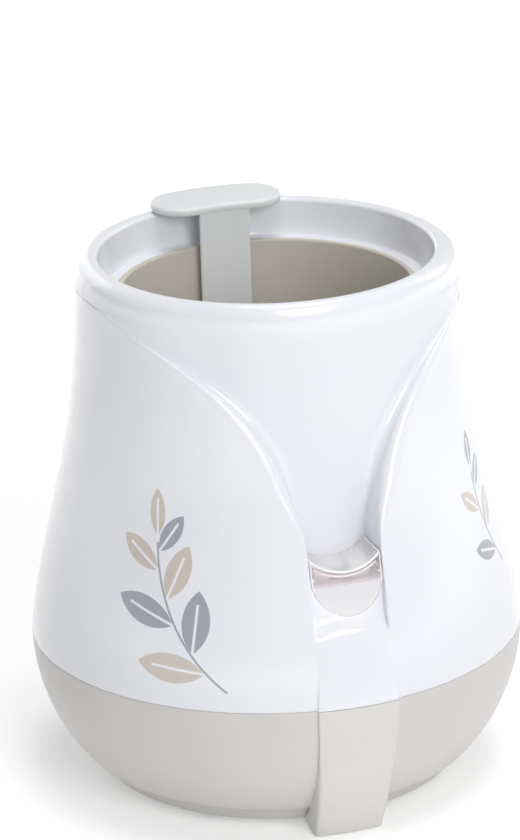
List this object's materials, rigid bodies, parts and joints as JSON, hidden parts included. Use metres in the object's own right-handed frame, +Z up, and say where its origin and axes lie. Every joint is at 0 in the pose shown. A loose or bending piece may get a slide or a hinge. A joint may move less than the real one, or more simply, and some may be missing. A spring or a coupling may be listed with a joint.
{
  "type": "bottle warmer",
  "caption": "Bell-shaped electric bottle warmer with a heated round well, a lift-out basket, a V-shaped finger recess and a clear push-down start lever.",
  "frame": {"origin": "on the well's axis at the surface that the warmer stands on", "axes": "+Z up along the well, -Y to the front with the lever, +X to the right seen from the front"},
  "size_m": [0.138, 0.139, 0.1536],
  "materials": {
    "white_gloss": "glossy moulded white",
    "warm_grey": "satin moulded warm grey",
    "foot_grey": "fine spark texture, pale grey",
    "plate_grey": "satin moulded warm grey",
    "rubber_grey": "moulded rubber",
    "steel": "plain bright steel",
    "well_cream": "satin cream lining",
    "silicone": "moulded silicone rubber",
    "hot_plate": "brushed plate",
    "element_steel": "dark oxidised tube",
    "pressed_steel": "zinc plated sheet",
    "shield_aluminium": "bright drawn sheet",
    "thermostat_brown": "moulded resin",
    "fuse_brass": "drawn case",
    "bracket_white": "satin moulded white",
    "switch_black": "moulded black",
    "plunger_red": "moulded red",
    "board_green": "coated laminate",
    "lamp_amber": "clear tinted lens",
    "lever_clear": "clear moulded",
    "slide_white": "satin moulded white",
    "terminal_cream": "moulded cream",
    "gland_grey": "moulded grey",
    "lifter_frost": "frosted clear moulded"
  },
  "bodies": {
    "housing": {"upper_shell": "white_gloss", "base_shell": "warm_grey", "front_foot": "foot_grey", "foot_screws": "steel", "base_plate": "plate_grey", "rubber_feet": "rubber_grey", "base_screws": "steel", "well_cup": "well_cream", "well_seal": "silicone", "well_screws": "steel", "heater_plate": "hot_plate", "plate_seal": "silicone", "heating_element": "element_steel", "clamp_ring": "pressed_steel", "heat_shield": "shield_aluminium", "heater_screws": "steel", "thermostat": "thermostat_brown", "thermostat_strap": "pressed_steel", "strap_nuts": "steel", "thermal_fuse": "fuse_brass", "fuse_clip": "pressed_steel", "switch_bracket": "bracket_white", "bracket_screws": "steel", "switch_body": "switch_black", "return_spring": "steel", "lamp_board": "board_green", "indicator_lamp": "lamp_amber", "terminal_block": "terminal_cream", "terminal_screw": "steel", "cord_gland": "gland_grey", "cord_clamp": "gland_grey", "clamp_screws": "steel"},
    "lever": {"start_lever": "lever_clear", "lever_slide": "slide_white"},
    "plunger": {"switch_plunger": "plunger_red"},
    "lifter": {"lifter_basket": "lifter_frost"}
  },
  "joints": [
    {"name": "lever_press", "type": "slide", "parent": "housing", "child": "lever", "axis": [0, 0, -1], "range_m": [0, 0.002], "stiffness_N_per_m": 500, "springref_m": -0.003, "deforming": ["return_spring"]},
    {"name": "plunger_press", "type": "slide", "parent": "housing", "child": "plunger", "axis": [0, 0, -1], "range_m": [0, 0.002]},
    {"name": "lifter_lift", "type": "slide", "parent": "housing", "child": "lifter", "axis": [0, 0, 1], "range_m": [0, 0.105]}
  ],
  "couplings": [
    {"joint": "plunger_press", "follows": "lever_press", "ratio": 1}
  ]
}
